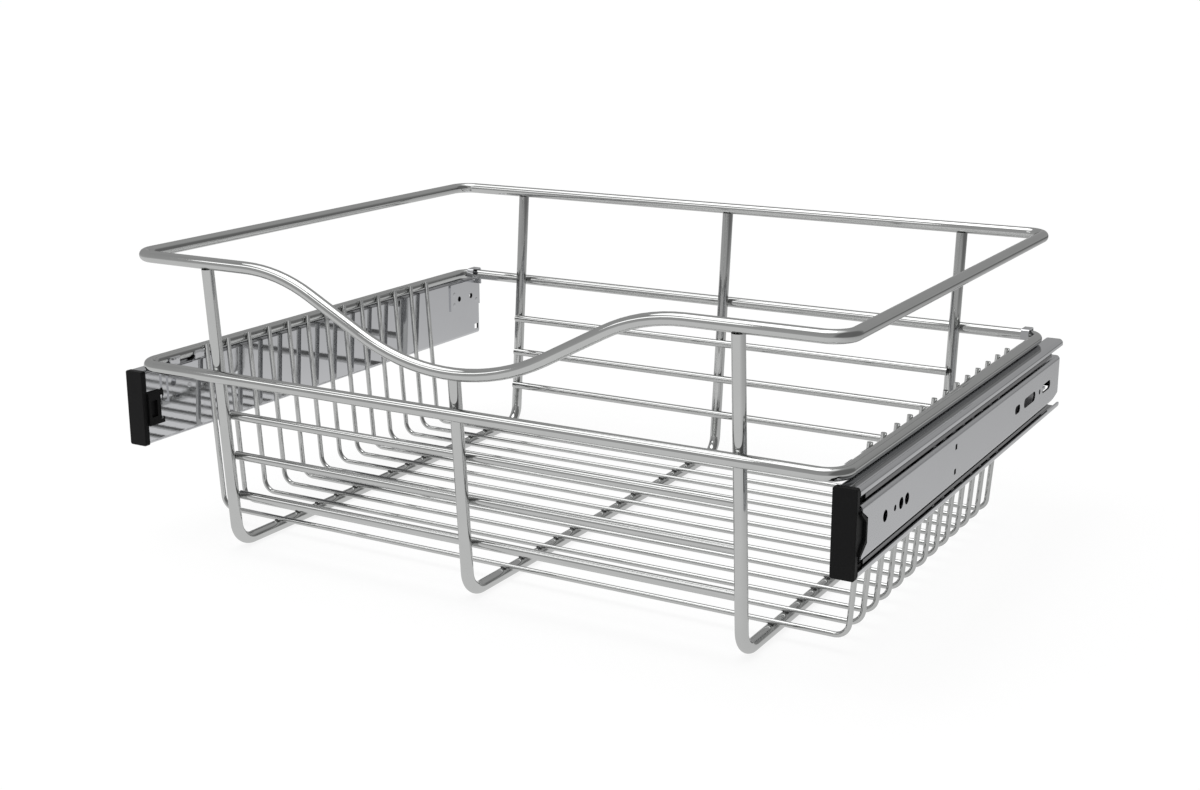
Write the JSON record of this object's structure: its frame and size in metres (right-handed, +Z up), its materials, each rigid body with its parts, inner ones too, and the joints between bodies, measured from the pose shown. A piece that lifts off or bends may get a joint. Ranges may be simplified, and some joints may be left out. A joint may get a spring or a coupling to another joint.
{
  "type": "pull out cabinet basket",
  "caption": "Chromed wire basket with a dipped front rim, carried at mid height on a pair of full-extension ball-bearing slides that screw to the side walls of a kitchen cabinet.",
  "frame": {"origin": "middle of the plan box with the basket pushed in, on the centre line between the two slides, level with the underside of the basket", "axes": "+X to the right as seen from the front, +Y to the back of the cabinet, +Z up"},
  "size_m": [0.4572, 0.3536, 0.176],
  "materials": {
    "chrome_wire": "bright chrome plating on welded steel rod",
    "zinc_steel": "bright zinc-plated rolled sheet",
    "oiled_steel": "rolled steel left dark, with a film of grease",
    "bearing_steel": "polished bearing balls",
    "black_plastic": "moulded black plastic, matt"
  },
  "bodies": {
    "wall_rails": {"wall_member_left": "zinc_steel", "lever_pin_left": "zinc_steel", "wall_member_right": "zinc_steel", "lever_pin_right": "zinc_steel"},
    "basket": {"back_bar_1": "chrome_wire", "back_bar_2": "chrome_wire", "back_bar_3": "chrome_wire", "carry_rail": "chrome_wire", "cross_wire_01": "chrome_wire", "cross_wire_02": "chrome_wire", "cross_wire_03": "chrome_wire", "cross_wire_04": "chrome_wire", "cross_wire_05": "chrome_wire", "cross_wire_06": "chrome_wire", "cross_wire_07": "chrome_wire", "cross_wire_08": "chrome_wire", "cross_wire_09": "chrome_wire", "cross_wire_10": "chrome_wire", "cross_wire_11": "chrome_wire", "cross_wire_12": "chrome_wire", "cross_wire_13": "chrome_wire", "front_bar_1": "chrome_wire", "front_bar_2": "chrome_wire", "front_bar_3": "chrome_wire", "rib_left": "chrome_wire", "rib_middle": "chrome_wire", "rib_right": "chrome_wire", "top_rim": "chrome_wire", "basket_member_left": "zinc_steel", "end_cap_left": "black_plastic", "front_bracket_left": "zinc_steel", "rear_bracket_left": "zinc_steel", "basket_member_right": "zinc_steel", "end_cap_right": "black_plastic", "front_bracket_right": "zinc_steel", "rear_bracket_right": "zinc_steel"},
    "middle_left": {"middle_member_left": "oiled_steel"},
    "outer_race_left": {"outer_retainer_left": "oiled_steel", "outer_balls_left": "bearing_steel"},
    "inner_race_left": {"inner_retainer_left": "oiled_steel", "inner_balls_left": "bearing_steel"},
    "lever_left": {"release_lever_left": "black_plastic"},
    "middle_right": {"middle_member_right": "oiled_steel"},
    "outer_race_right": {"outer_retainer_right": "oiled_steel", "outer_balls_right": "bearing_steel"},
    "inner_race_right": {"inner_retainer_right": "oiled_steel", "inner_balls_right": "bearing_steel"},
    "lever_right": {"release_lever_right": "black_plastic"}
  },
  "joints": [
    {"name": "basket_slide", "type": "slide", "parent": "wall_rails", "child": "basket", "axis": [0, -1, 0], "range_m": [0, 0.35]},
    {"name": "middle_left_slide", "type": "slide", "parent": "wall_rails", "child": "middle_left", "axis": [0, -1, 0], "range_m": [0, 0.175]},
    {"name": "outer_race_left_slide", "type": "slide", "parent": "wall_rails", "child": "outer_race_left", "axis": [0, -1, 0], "range_m": [0, 0.2625]},
    {"name": "inner_race_left_slide", "type": "slide", "parent": "wall_rails", "child": "inner_race_left", "axis": [0, -1, 0], "range_m": [0, 0.0875]},
    {"name": "lever_left_turn", "type": "hinge", "parent": "wall_rails", "child": "lever_left", "pos_m": [-0.22585, -0.05655, 0.0818], "axis": [1, 0, 0], "range_deg": [0, 6.5], "stiffness_Nm_per_rad": 0.02},
    {"name": "middle_right_slide", "type": "slide", "parent": "wall_rails", "child": "middle_right", "axis": [0, -1, 0], "range_m": [0, 0.175]},
    {"name": "outer_race_right_slide", "type": "slide", "parent": "wall_rails", "child": "outer_race_right", "axis": [0, -1, 0], "range_m": [0, 0.2625]},
    {"name": "inner_race_right_slide", "type": "slide", "parent": "wall_rails", "child": "inner_race_right", "axis": [0, -1, 0], "range_m": [0, 0.0875]},
    {"name": "lever_right_turn", "type": "hinge", "parent": "wall_rails", "child": "lever_right", "pos_m": [0.22585, -0.05655, 0.0818], "axis": [1, 0, 0], "range_deg": [0, 6.5], "stiffness_Nm_per_rad": 0.02}
  ],
  "couplings": [
    {"joint": "middle_left_slide", "follows": "basket_slide", "ratio": 0.5},
    {"joint": "outer_race_left_slide", "follows": "basket_slide", "ratio": 0.75},
    {"joint": "inner_race_left_slide", "follows": "basket_slide", "ratio": 0.25},
    {"joint": "middle_right_slide", "follows": "basket_slide", "ratio": 0.5},
    {"joint": "outer_race_right_slide", "follows": "basket_slide", "ratio": 0.75},
    {"joint": "inner_race_right_slide", "follows": "basket_slide", "ratio": 0.25}
  ]
}
